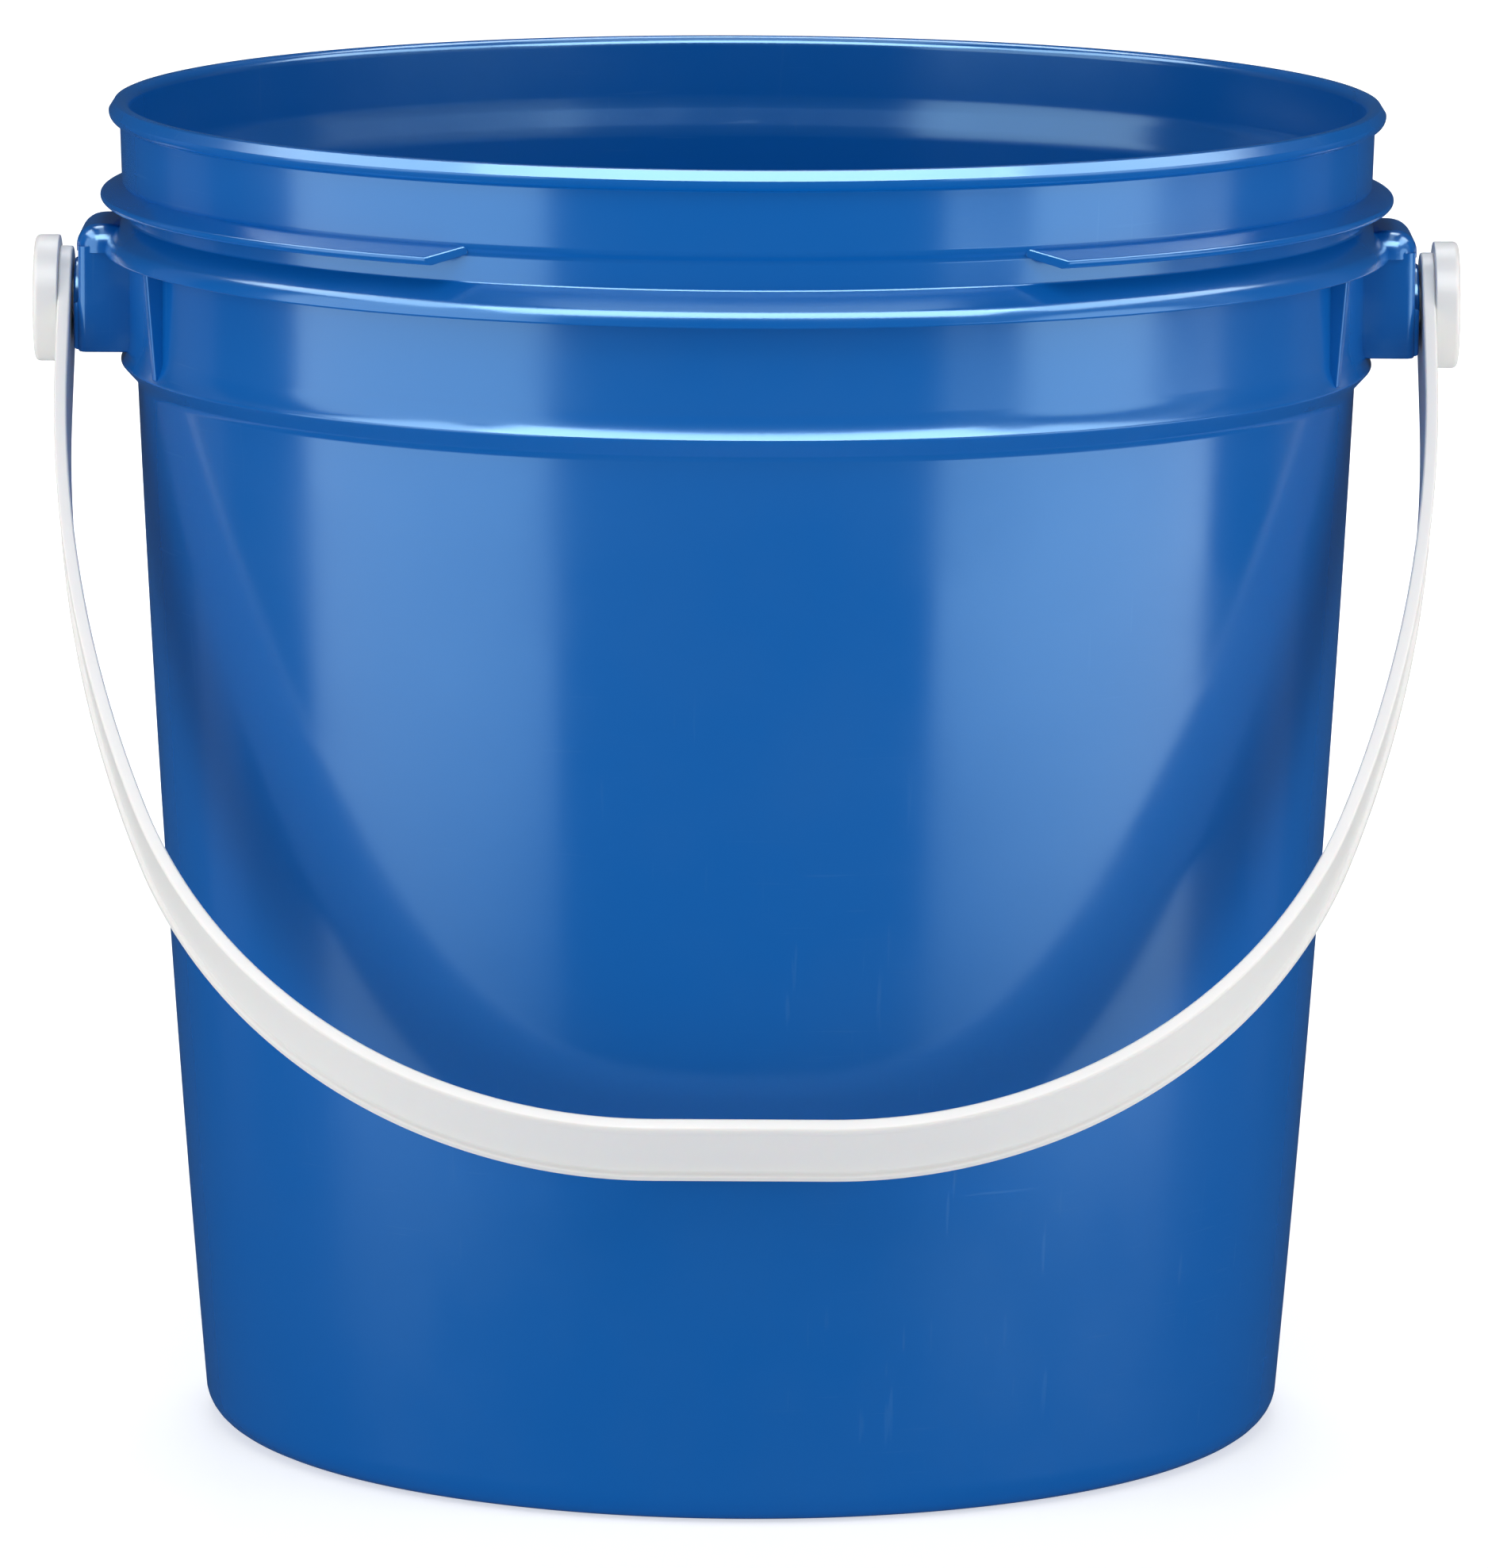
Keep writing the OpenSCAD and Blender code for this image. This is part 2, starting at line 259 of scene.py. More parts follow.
def draw_outline(outline, name):
    """Draw a chain of edges through corners given as radius, height and softness, in the XZ plane."""
    bpy.ops.mesh.primitive_plane_add(size=mm, location=(outline[0][0] * mm, 0, outline[0][1] * mm))
    piece = start(bpy.context.object, name)
    bpy.ops.mesh.select_all(action="SELECT")
    bpy.ops.mesh.merge(type="CENTER")
    bpy.ops.mesh.select_mode(type="VERT")
    for before, after in zip(outline, outline[1:]):
        extrude(x=after[0] - before[0], z=after[1] - before[1])
    for softness in sorted({corner[2] for corner in outline if corner[2] > 0}):
        soft = [Vector((x, 0, z)) for x, z, s in outline if s == softness]
        pick(piece, "VERT", lambda place, way: any((place - corner).length < same_point for corner in soft))
        bpy.ops.mesh.bevel(affect="VERTICES", offset_type="OFFSET", offset=softness * mm, segments=4)
    bpy.ops.mesh.select_all(action="SELECT")
    return piece


pail = draw_outline(pail_outline, "pail_moulding")
bpy.ops.mesh.spin(steps=288, angle=2 * pi, center=(0, 0, 0), axis=(0, 0, 1), use_auto_merge=True)
finish_mesh(pail)

# %% [markdown]
# ## Lid lugs
# A lid catches under two sloping lugs on the neck. They aren't a full ring: the mould leaves them out at the
# front and at the rear, and their ends slant. Each is one closed face, spun through the angle between two
# gaps. The end faces are then skewed by turning their outer corners a little further than their inner ones.

# %% Spin the lid lugs
lug_section = [(95.0, 191.6), (98.8, 189.9), (98.8, 189.2), (98.2, 188.6), (95.0, 190.2)]
lug_root_radius, lug_edge_radius = 95.8, 98.8
gap_at_root, gap_at_edge = 25.9, 28.3
lug_round = 0.3


def soften(piece, width, segments=3, above_deg=28):
    """Round every edge sharper than an angle, as the radius in a mould does."""
    work_on(piece)
    bpy.ops.object.modifier_add(type="BEVEL")
    bevel = piece.modifiers[-1]
    bevel.limit_method = "ANGLE"
    bevel.angle_limit = radians(above_deg)
    bevel.width = width * mm
    bevel.segments = segments
    bpy.ops.object.modifier_apply(modifier=bevel.name)


def gap_angle(radius):
    """Half angle of the gap between the lugs at this radius, from the middle of the gap."""
    share = (radius - lug_root_radius) / (lug_edge_radius - lug_root_radius)
    return gap_at_root + (gap_at_edge - gap_at_root) * share


def lid_lug(side):
    """One lug on the +X side (1) or the -X side (-1)."""
    lug = draw_outline([(x, z, 0) for x, z in lug_section], "lid_lug")
    bpy.ops.mesh.edge_face_add()
    bpy.ops.mesh.spin(steps=144, angle=radians(180 - 2 * gap_at_root), center=(0, 0, 0), axis=(0, 0, -1))
    work_on(lug)
    lug.rotation_euler.z = radians(gap_at_root - 90)
    bpy.ops.object.transform_apply(location=True, rotation=True, scale=True)
    span = 90 - gap_at_root
    for corner in lug.data.vertices:
        turn = degrees(atan2(corner.co.y, corner.co.x))
        radius = hypot(corner.co.x, corner.co.y)
        turn = radians(turn * (90 - gap_angle(radius / mm)) / span)
        corner.co.x, corner.co.y = radius * cos(turn), radius * sin(turn)
    lug.rotation_euler.z = 0 if side > 0 else pi
    bpy.ops.object.transform_apply(location=True, rotation=True, scale=True)
    soften(lug, lug_round)
    finish_mesh(lug)
    return lug


lugs = [lid_lug(1), lid_lug(-1)]

# %% [markdown]
# ## Ribs beside the ears
# A thin upright rib on each side of each ear stiffens the skirt where the bail pulls. Each is a slim block
# whose outer face leans out towards the flange. One is modelled on the X axis, and its copies are turned into
# place, each with its own mesh.

# %% Model a rib and turn its copies
rib_root, rib_face = 93.2, 95.75
rib_low, rib_top = 164.6, 181.9
rib_half = 0.8
rib_lean = 1.45
rib_round = 0.3
rib_angle = 21.5


def block(name, low, high):
    """A box between two corners in mm, open for editing."""
    middle = [(a + b) / 2 * mm for a, b in zip(low, high)]
    size = [(b - a) * mm for a, b in zip(low, high)]
    bpy.ops.mesh.primitive_cube_add(size=1, location=middle, scale=size)
    return start(bpy.context.object, name)


def copy_turned(piece, name, turn_deg=0, mirrored=False):
    """A copy with its own mesh, turned about the pail's axis or mirrored to the -X side."""
    work_on(piece)
    bpy.ops.object.duplicate()
    copy = bpy.context.object
    copy.name = name
    copy.rotation_euler.z = radians(turn_deg)
    if mirrored:
        copy.scale.x = -1
    bpy.ops.object.transform_apply(location=True, rotation=True, scale=True)
    finish_mesh(copy)
    return copy


rib = block("rib", (rib_root, -rib_half, rib_low), (rib_face, rib_half, rib_top))
pick(rib, "VERT", lambda place, way: place.x > rib_face - near and place.z > rib_top - near)
bpy.ops.transform.translate(value=(rib_lean * mm, 0, 0))
work_on(rib)
soften(rib, rib_round)
finish_mesh(rib)
ribs = [copy_turned(rib, "rib_turned", turn) for turn in (-rib_angle, 180 - rib_angle, 180 + rib_angle)]
work_on(rib)
rib.rotation_euler.z = radians(rib_angle)
bpy.ops.object.transform_apply(location=True, rotation=True, scale=True)
ribs.append(rib)

# %% [markdown]
# ## The ears
# Each ear carries one pivot of the bail. It is a hollow box, open below so that the mould can let it go, with
# a thick outer plate. The flange runs round its top as a thin lobe with a domed edge. A box and a lobe with
# their own roundings, joined by a boolean, keep each radius easy to change.

# %% Model the ear's box and lobe
ear_root, ear_face = 93.4, 101.9
ear_low, ear_top = 165.8, 182
ear_side = 10.5
ear_corner, ear_edge = 1.4, 0.35
ear_wall, ear_hollow = 1.5, 15.2
lobe_side, lobe_face = 11.2, 102.2
lobe_top = 185.3
lobe_corner, lobe_dome = 4.4, 3.4
outer_part = 101  # edges beyond this X belong to the outer plate


def combine(piece, other, operation):
    """Join another piece on, or cut it out, and remove the other piece."""
    work_on(piece)
    bpy.ops.object.modifier_add(type="BOOLEAN")
    boolean = piece.modifiers[-1]
    boolean.operation = operation
    boolean.solver = "EXACT"
    boolean.object = other
    bpy.ops.object.modifier_apply(modifier=boolean.name)
    bpy.data.objects.remove(other)


def ear_box():
    """The hollow box, from under the flange to the ear's lower edge."""
    box = block("ear_right", (ear_root, -ear_side, ear_low), (ear_face, ear_side, ear_top))
    pick(box, "EDGE", lambda place, way: abs(way.z) > 0.9 and place.x > outer_part)
    bpy.ops.mesh.bevel(offset=ear_corner * mm, segments=5)
    pick(box, "FACE", lambda place, way: way.z < -0.9)
    bpy.ops.mesh.inset(thickness=ear_wall * mm)
    extrude(z=ear_hollow)
    pick(box, "EDGE", lambda place, way: abs(way.z) < 0.5 and abs(place.z - ear_low) < near)
    bpy.ops.mesh.bevel(offset=ear_edge * mm, segments=3)
    work_on(box)
    return box


def ear_lobe():
    """The flange's lobe around the ear, with its domed top."""
    lobe = block("lobe", (ear_root, -lobe_side, flange_low), (lobe_face, lobe_side, lobe_top))
    pick(lobe, "EDGE", lambda place, way: abs(way.z) > 0.9 and place.x > outer_part)
    bpy.ops.mesh.bevel(offset=lobe_corner * mm, segments=10)
    pick(lobe, "FACE", lambda place, way: way.z > 0.9)
    bpy.ops.mesh.region_to_loop()
    bpy.ops.mesh.bevel(offset=lobe_dome * mm, segments=8)
    work_on(lobe)
    return lobe


ear_right = ear_box()
combine(ear_right, ear_lobe(), "UNION")
print("box and lobe joined, with", len(ear_right.data.polygons), "faces")

# %% [markdown]
# The outer plate has a low pad under the bore, and a raised collar round it that keeps the strap off the ear.
# Both start inside the plate, so that the boolean has no faces that only touch. The bore is drilled last, and
# the left ear is a mirrored copy.

# %% Add pad and collar, and drill the bore
pad_inside, pad_face = 100.5, 102.6
pad_side = 9.2
pad_low, pad_top = 166.1, 173.3
pad_round = 0.5
collar_inside, collar_face = 100.2, 102.8
collar_radius, collar_round = 6.3, 0.35
bore_radius = 3.05
bore_from, bore_to = 99, 104


def rod(name, radius, x_from, x_to, y=0, z=0, corners=96):
    """A round bar along X between two places in mm, open for editing."""
    bpy.ops.mesh.primitive_cylinder_add(
        vertices=corners, radius=radius * mm, depth=(x_to - x_from) * mm,
        location=((x_from + x_to) / 2 * mm, y * mm, z * mm), rotation=(0, pi / 2, 0))
    return start(bpy.context.object, name)


def round_outer_face(piece, width):
    """Round the edge of the face that looks out along X, and leave edit mode."""
    pick(piece, "FACE", lambda place, way: way.x > 0.9)
    bpy.ops.mesh.region_to_loop()
    bpy.ops.mesh.bevel(offset=width * mm, segments=3)
    work_on(piece)
    return piece


pad = block("pad", (pad_inside, -pad_side, pad_low), (pad_face, pad_side, pad_top))
combine(ear_right, round_outer_face(pad, pad_round), "UNION")
collar = rod("collar", collar_radius, collar_inside, collar_face, z=pivot_z)
combine(ear_right, round_outer_face(collar, collar_round), "UNION")
combine(ear_right, rod("bore", bore_radius, bore_from, bore_to, z=pivot_z), "DIFFERENCE")
finish_mesh(ear_right)
ear_left = copy_turned(ear_right, "ear_left", mirrored=True)

# %% [markdown]
# All of this is one moulding, so the parts become one mesh, which stands for the frame's pail. Smooth shading
# alone would bend the light on flat faces beside a rounding. Weighted normals keep each large face flat.

# %% Join the pail's parts
def join(piece, others):
    """Join other pieces into this one."""
    work_on(piece)
    for other in others:
        other.select_set(True)
    bpy.ops.object.join()


def even_shading(piece):
    """Let large flat faces keep their own direction, so that only the roundings shade as round."""
    work_on(piece)
    bpy.ops.object.modifier_add(type="WEIGHTED_NORMAL")
    weighted = piece.modifiers[-1]
    weighted.keep_sharp = True
    bpy.ops.object.modifier_apply(modifier=weighted.name)


join(pail, lugs + ribs + [ear_right, ear_left])
finish_mesh(pail)
even_shading(pail)
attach(pail, "pail")
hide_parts("pail")

# %% [markdown]
# ## The strap bail
# The bail is a flat strap with a shallow channel on its outer side, which makes it stiff for little plastic.
# A curve modifier could bend a straight strap, but this strap is made of straight and round stretches only,
# so it is swept. Its path is worked out first: a straight leg, a long gentle arc, a tight corner and the
# straight grip, laid flat, with the pivots on the X axis.

# %% Work out the strap's path
strap_thick, strap_wide = 2.0, 16
channel_deep, channel_rim = 0.8, 1.6
leg_x = strap_outside - strap_thick / 2
leg_straight = 17
eye_solid = 9.5
eye_radius = 3.0
side_radius, side_turn = 218, 21
corner_radius = 82
side_in = side_radius * (1 - cos(radians(side_turn)))
corner_in = corner_radius * cos(radians(side_turn))
side_down = side_radius * sin(radians(side_turn))
corner_down = corner_radius * (1 - sin(radians(side_turn)))
grip_half = leg_x - side_in - corner_in
reach = leg_straight + side_down + corner_down
print(f"the strap reaches {reach:.1f} mm from its hinge, and half its grip is {grip_half:.2f} mm")

# %% [markdown]
# The round end is cut from a disc and runs on solid past the eye. There the end face is cut along the
# channel's floor and sides, and only the part beside the channel is picked. That face is extruded and spun
# from stretch to stretch, on one side and as far as the middle of the grip.

# %% Sweep half of the strap
channel_floor = leg_x + strap_thick / 2 - channel_deep
channel_side = strap_wide / 2 - channel_rim
channel_cuts = [((channel_floor, 0, 0), (1, 0, 0)), ((0, 0, channel_side), (0, 0, 1)),
                ((0, 0, -channel_side), (0, 0, 1))]


def on_end(place, way):
    """Whether a face is on the end of the solid part, where the channel starts."""
    return way.y < -0.9 and abs(place.y + eye_solid) < near


def beside_channel(place, way):
    """Whether a face on that end is outside the channel."""
    in_channel = place.x > channel_floor and abs(place.z) < channel_side
    return on_end(place, way) and not in_channel


strap = rod("strap_bail", strap_wide / 2, leg_x - strap_thick / 2, leg_x + strap_thick / 2)
bpy.ops.mesh.select_all(action="SELECT")
bpy.ops.mesh.bisect(plane_co=(0, 0, 0), plane_no=(0, 1, 0), use_fill=True, clear_inner=True)
pick(strap, "FACE", lambda place, way: way.y < -0.9 and abs(place.y) < near)
extrude(y=-eye_solid)
for cut_place, cut_way in channel_cuts:
    bpy.ops.mesh.bisect(plane_co=[c * mm for c in cut_place], plane_no=cut_way)
    pick(strap, "FACE", on_end)
pick(strap, "FACE", beside_channel)
extrude(y=eye_solid - leg_straight)
side_centre = (leg_x - side_radius, -leg_straight)
bpy.ops.mesh.spin(steps=21, angle=radians(side_turn), axis=(0, 0, 1),
                  center=(side_centre[0] * mm, side_centre[1] * mm, 0))
inward = (side_radius - corner_radius) * mm
corner_centre = (side_centre[0] * mm + inward * cos(radians(side_turn)),
                 side_centre[1] * mm - inward * sin(radians(side_turn)), 0)
bpy.ops.mesh.spin(steps=46, angle=radians(90 - side_turn), axis=(0, 0, 1), center=corner_centre)
extrude(x=-grip_half)
bpy.ops.mesh.delete(type="FACE")
work_on(strap)
print("half of the strap has", len(strap.data.polygons), "faces")

# %% [markdown]
# The mirror closes the strap at the grip, the eyes are cut, and every edge gets a small radius. Then it turns
# to where it rests on the pail. The angle follows from the frame: the grip's outer front edge is the lowest
# point of the strap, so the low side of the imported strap's box gives the turn.

# %% Close the strap and lay it at rest
strap_round = 0.35
drill_reach = 120
drop = pivot_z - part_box("bail_strap")[0].z / mm
outer_reach = reach + strap_thick / 2
rest_angle = degrees(atan2(strap_wide / 2, outer_reach) + acos(drop / hypot(outer_reach, strap_wide / 2)))


def mirror_across_x(piece):
    """Mirror to the -X side and weld the middle."""
    work_on(piece)
    bpy.ops.object.modifier_add(type="MIRROR")
    mirror = piece.modifiers[-1]
    mirror.use_axis = (True, False, False)
    mirror.use_clip = True
    mirror.merge_threshold = 0.01 * mm
    bpy.ops.object.modifier_apply(modifier=mirror.name)


def lay_at_rest(piece):
    """Turn a piece of the flat bail about its pivots to the rest angle, and lift it to the hinge's height."""
    work_on(piece)
    piece.rotation_euler.x = radians(90 - rest_angle)
    piece.location.z = pivot_z * mm
    bpy.ops.object.transform_apply(location=True, rotation=True, scale=True)


mirror_across_x(strap)
combine(strap, rod("eye", eye_radius, -drill_reach, drill_reach), "DIFFERENCE")
soften(strap, strap_round)
lay_at_rest(strap)
finish_mesh(strap)
even_shading(strap)
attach(strap, "bail")
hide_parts("bail_strap")
print(f"the bail rests {rest_angle:.2f} degrees forward of hanging straight down")

# %% [markdown]
# ## The pivot buttons
# A button is a round head, a stem that runs in the ear's bore, and a split end with a barb that springs open
# behind the ear's plate. It is one turned shape, so it starts as a disc: the head's face is inset and dished,
# with a small pip in the middle, and the back is inset to the stem's radius and extruded inwards, step by
# step, with each end scaled for the barb's cone.

# %% Model the buttons
head_radius = 9.7
head_round, head_back_round = 0.8, 0.25
face_land = 2.0
dish_slope, dish_deep, dish_floor = 0.5, 0.35, 5.9
pip_slope, pip_high = 0.2, 0.15
stem_radius, barb_radius, tip_radius = 3.0, 3.9, 2.5
barb_start, barb_end, tip_end = 99.8, 99.4, 97.2
slot_wide, slot_end = 1.2, 101.3
slot_reach, slot_past_tip = 5, 1


def on_front_edge(place, way):
    """Whether an edge runs round the head's outer face."""
    return hypot(place.y, place.z) > head_radius - near and place.x > head_outside - near


def on_back_edge(place, way):
    """Whether an edge runs round the head's back, against the strap."""
    return hypot(place.y, place.z) > head_radius - near and place.x < strap_outside + near


def on_back(place, way):
    """Whether a face is the head's flat back, and not the rounding round it."""
    return way.x < -0.999 and abs(place.x - strap_outside) < near


def step_back(to_radius, from_radius, x=0):
    """Extrude the picked end face along X by a step in mm and scale it to a new radius."""
    extrude(x=x)
    share = to_radius / from_radius
    bpy.ops.transform.resize(value=(1, share, share), center_override=(0, 0, 0))


def pivot_button(name):
    """The button on the +X side, on the hinge's own line."""
    button = rod(name, head_radius, strap_outside, head_outside)
    pick(button, "FACE", lambda place, way: way.x > 0.9)
    bpy.ops.mesh.inset(thickness=face_land * mm)
    bpy.ops.mesh.inset(thickness=dish_slope * mm, depth=-dish_deep * mm)
    bpy.ops.mesh.inset(thickness=dish_floor * mm)
    bpy.ops.mesh.inset(thickness=pip_slope * mm, depth=pip_high * mm)
    pick(button, "EDGE", on_front_edge)
    bpy.ops.mesh.bevel(offset=head_round * mm, segments=6)
    pick(button, "EDGE", on_back_edge)
    bpy.ops.mesh.bevel(offset=head_back_round * mm, segments=3)
    pick(button, "FACE", on_back)
    bpy.ops.mesh.inset(thickness=(head_radius - head_back_round - stem_radius) * mm)
    step_back(stem_radius, stem_radius, barb_start - strap_outside)
    step_back(barb_radius, stem_radius)
    step_back(barb_radius, barb_radius, barb_end - barb_start)
    step_back(tip_radius, barb_radius, tip_end - barb_end)
    work_on(button)
    slot_low = (tip_end - slot_past_tip, -slot_wide / 2, -slot_reach)
    combine(button, block("slot", slot_low, (slot_end, slot_wide / 2, slot_reach)), "DIFFERENCE")
    return button


button_right = pivot_button("snap_button_right")
button_left = copy_turned(button_right, "snap_button_left", mirrored=True)
for button, node in ((button_right, "pivot_button_right"), (button_left, "pivot_button_left")):
    lay_at_rest(button)
    finish_mesh(button, smooth_below=40)
    even_shading(button)
    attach(button, "bail")
    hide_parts(node)

# %% [markdown]
# ## Finishes: three effects as node groups
# Every piece is injection-moulded polyethylene. A fresh moulding isn't a perfect mirror: its skin waves a
# little where the melt cooled unevenly, handling leaves fine scuffs, and edges that rub turn a shade paler
# and duller. Each effect is a node group with named sockets, built once and placed in both materials with its
# own values. Four helpers keep the trees short to write.

# %% Helpers for node trees
def add(tree, kind, links=(), **settings):
    """Add a node, set its properties, and fill its inputs with numbers or with other nodes' outputs."""
    node = tree.nodes.new(kind)
    for name, value in settings.items():
        setattr(node, name, value)
    for socket, value in dict(links).items():
        if isinstance(value, bpy.types.NodeSocket):
            tree.links.new(value, node.inputs[socket])
        else:
            node.inputs[socket].default_value = value
    return node


def new_group(name, inputs, outputs):
    """An empty shader node group with float inputs, given as name and default, and named outputs."""
    group = bpy.data.node_groups.new(name, "ShaderNodeTree")
    for socket, value in inputs:
        made = group.interface.new_socket(name=socket, in_out="INPUT", socket_type="NodeSocketFloat")
        made.default_value = value
    for socket in outputs:
        group.interface.new_socket(name=socket, in_out="OUTPUT", socket_type="NodeSocketFloat")
    return group, add(group, "NodeGroupInput"), add(group, "NodeGroupOutput")


def calculate(tree, operation, first, second=0.0):
    """One step of arithmetic. Returns its output."""
    return add(tree, "ShaderNodeMath", {0: first, 1: second}, operation=operation).outputs[0]


def ramp_between(tree, value, low, high):
    """0 at low and below, 1 at high and above, smooth between."""
    node = add(tree, "ShaderNodeMapRange", {"Value": value, "From Min": low, "From Max": high},
               interpolation_type="SMOOTHSTEP")
    return node.outputs["Result"]


print("helpers: add, new_group, calculate and ramp_between")

# %% [markdown]
# The skin is two noises on the piece's own coordinates: broad waves of about two centimetres and a fine
# grain. It puts out a height for a Bump node and a mottle that shifts the gloss from place to place.

# %% Moulded skin
def moulded_skin():
    """Waves and grain of a moulded skin: a height in mm and a mottle from 0 to 1."""
    sockets = [("Wave Size", 50), ("Wave Height", 0.05), ("Grain Height", 0.004)]
    group, given, out = new_group("moulded_skin", sockets, ["Height", "Mottle"])
    place = add(group, "ShaderNodeTexCoord").outputs["Object"]
    wave = add(group, "ShaderNodeTexNoise",
               {"Vector": place, "Scale": given.outputs["Wave Size"], "Detail": 1.5})
    grain = add(group, "ShaderNodeTexNoise", {"Vector": place, "Scale": 1900, "Detail": 2.0})
    waves = calculate(group, "MULTIPLY", wave.outputs["Fac"], given.outputs["Wave Height"])
    grains = calculate(group, "MULTIPLY", grain.outputs["Fac"], given.outputs["Grain Height"])
    mottle = add(group, "ShaderNodeTexNoise",
                 {"Vector": place, "Scale": 26, "Detail": 4.0, "Roughness": 0.6})
    group.links.new(calculate(group, "ADD", waves, grains), out.inputs["Height"])
    group.links.new(ramp_between(group, mottle.outputs["Fac"], 0.3, 0.7), out.inputs["Mottle"])
    return group


skin_effect = moulded_skin()
print(skin_effect.name, "has", len(skin_effect.nodes), "nodes")

# %% [markdown]
# Scuffs are long thin noise, kept only where a broad patch noise allows it. Two directions cross, because a
# bucket is both stacked, which marks it up and down, and wiped, which marks it round.

# %% Handling scuffs
def handling_scuffs():
    """Fine scuffs in two directions: a mask from 0 to 1."""
    group, given, out = new_group("handling_scuffs", [("Amount", 0.5)], ["Mask"])
    place = add(group, "ShaderNodeTexCoord").outputs["Object"]
    marks = []
    for stretch, turn in (((900, 900, 22), 0.12), ((60, 60, 1500), -0.2)):
        along = add(group, "ShaderNodeMapping",
                    {"Vector": place, "Scale": stretch, "Rotation": (turn, turn, 0)})
        streak = add(group, "ShaderNodeTexNoise", {"Vector": along.outputs[0], "Scale": 1.0, "Detail": 2.0})
        marks.append(ramp_between(group, streak.outputs["Fac"], 0.66, 0.74))
    patch = add(group, "ShaderNodeTexNoise", {"Vector": place, "Scale": 17, "Detail": 2.0})
    where = ramp_between(group, patch.outputs["Fac"], 0.48, 0.66)
    both = calculate(group, "MAXIMUM", marks[0], marks[1])
    placed = calculate(group, "MULTIPLY", both, where)
    shown = calculate(group, "MULTIPLY", placed, given.outputs["Amount"])
    group.links.new(shown, out.inputs["Mask"])
    return group


scuff_effect = handling_scuffs()
print(scuff_effect.name, "has", len(scuff_effect.nodes), "nodes")

# %% [markdown]
# Rubbed edges come from the mesh itself: pointiness is high where the surface turns sharply outwards. A noise
# breaks the line up, since real edges wear in places.

# %% Rubbed edges
def rubbed_edges():
    """Wear along outward edges: a mask from 0 to 1."""
    group, given, out = new_group("rubbed_edges", [("Amount", 0.5)], ["Mask"])
    place = add(group, "ShaderNodeTexCoord").outputs["Object"]
    sharp = ramp_between(group, add(group, "ShaderNodeNewGeometry").outputs["Pointiness"], 0.53, 0.62)
    breaks = add(group, "ShaderNodeTexNoise", {"Vector": place, "Scale": 140, "Detail": 3.0})
    worn = calculate(group, "MULTIPLY", sharp, ramp_between(group, breaks.outputs["Fac"], 0.42, 0.62))
    shown = calculate(group, "MULTIPLY", worn, given.outputs["Amount"])
    group.links.new(shown, out.inputs["Mask"])
    return group


edge_effect = rubbed_edges()
print(edge_effect.name, "has", len(edge_effect.nodes), "nodes")

# %% [markdown]
# ## The two plastics
# Both are polyethylene, which has a soft, slightly waxy gloss. The blue is a strong pigment with a glossy
# skin, and its highlights are tinted, because the pigment lies close under the skin. The white is duller,
# because its mould is textured, and it lets a little light in, which subsurface scattering gives. The numbers
# that don't vary sit on the shader's own sockets, and the effects only move colour, gloss and relief.

# %% Make the materials
scuff_paleness = 0.35
mark_dulling = 0.25


def moulded_plastic(name, colour, pale, gloss, wave_height, wear, shine, tint=(1, 1, 1), depth=0.0):
    """A moulded polyethylene: colour, paler worn colour, roughness low and high, relief, wear and shine."""
    material = bpy.data.materials.new(name)
    material.use_nodes = True
    tree = material.node_tree
    shader = tree.nodes["Principled BSDF"]
    shader.inputs["IOR"].default_value = 1.52
    shader.inputs["Specular IOR Level"].default_value = shine
    shader.inputs["Specular Tint"].default_value = (*tint, 1)
    shader.inputs["Subsurface Weight"].default_value = depth
    shader.inputs["Subsurface Scale"].default_value = 0.002
    skin = add(tree, "ShaderNodeGroup", node_tree=skin_effect)
    skin.inputs["Wave Height"].default_value = wave_height
    scuffs = add(tree, "ShaderNodeGroup", node_tree=scuff_effect)
    scuffs.inputs["Amount"].default_value = wear
    edges = add(tree, "ShaderNodeGroup", node_tree=edge_effect)
    edges.inputs["Amount"].default_value = wear
    faint_scuffs = calculate(tree, "MULTIPLY", scuffs.outputs["Mask"], scuff_paleness)
    marks = calculate(tree, "MAXIMUM", faint_scuffs, edges.outputs["Mask"])
    paint = add(tree, "ShaderNodeMix", {"Factor": marks, "A": (*colour, 1), "B": (*pale, 1)},
                data_type="RGBA")
    tree.links.new(paint.outputs["Result"], shader.inputs["Base Color"])
    skin_gloss = add(tree, "ShaderNodeMapRange",
                     {"Value": skin.outputs["Mottle"], "To Min": gloss[0], "To Max": gloss[1]})
    strongest = calculate(tree, "MAXIMUM", scuffs.outputs["Mask"], edges.outputs["Mask"])
    dulled = calculate(tree, "MULTIPLY", strongest, mark_dulling)
    roughness = calculate(tree, "ADD", skin_gloss.outputs["Result"], dulled)
    tree.links.new(roughness, shader.inputs["Roughness"])
    bump = add(tree, "ShaderNodeBump", {"Height": skin.outputs["Height"], "Distance": mm, "Strength": 1.0})
    tree.links.new(bump.outputs["Normal"], shader.inputs["Normal"])
    return material


def dress(piece, material):
    """Give a piece one material."""
    piece.data.materials.clear()
    piece.data.materials.append(material)


blue = moulded_plastic(
    "blue_polyethylene", colour=(0.0012, 0.094, 0.37), pale=(0.06, 0.22, 0.52), gloss=(0.16, 0.22),
    wave_height=0.03, wear=0.2, shine=0.95, tint=(0.45, 0.78, 1.0))
white = moulded_plastic(
    "white_polyethylene", colour=(0.71, 0.71, 0.70), pale=(0.66, 0.66, 0.64), gloss=(0.36, 0.46),
    wave_height=0.05, wear=0.3, shine=0.3, depth=0.15)
dress(pail, blue)
for piece in (strap, button_right, button_left):
    dress(piece, white)
print("materials", blue.name, white.name)

